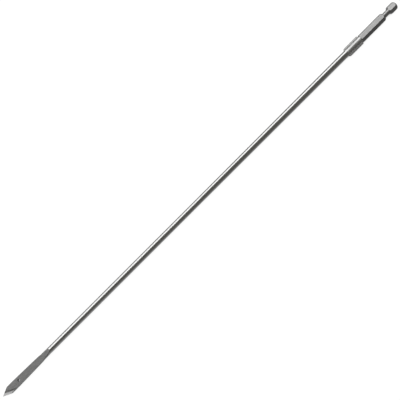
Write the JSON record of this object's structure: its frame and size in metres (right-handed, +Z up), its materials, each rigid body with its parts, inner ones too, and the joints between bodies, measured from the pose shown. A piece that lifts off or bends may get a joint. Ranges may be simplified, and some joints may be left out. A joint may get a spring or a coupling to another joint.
{
  "type": "spade drill bit",
  "caption": "Long slim spade bit: a flat ground blade with a raked point and a hole, a round shaft, an eared collar and a hexagonal quick-change shank with a detent groove.",
  "frame": {"origin": "under the middle of the bit's length, on its axis seen from above, at the height of the hexagon's lower flat", "axes": "+X along the bit from the point to the free end of the shank, +Z up, square to the blade's broad faces"},
  "size_m": [0.4444, 0.0082, 0.0063],
  "materials": {
    "steel": "polished shaft, satin blade and shank"
  },
  "bodies": {
    "root": {"spade_bit": "steel"}
  },
  "joints": []
}
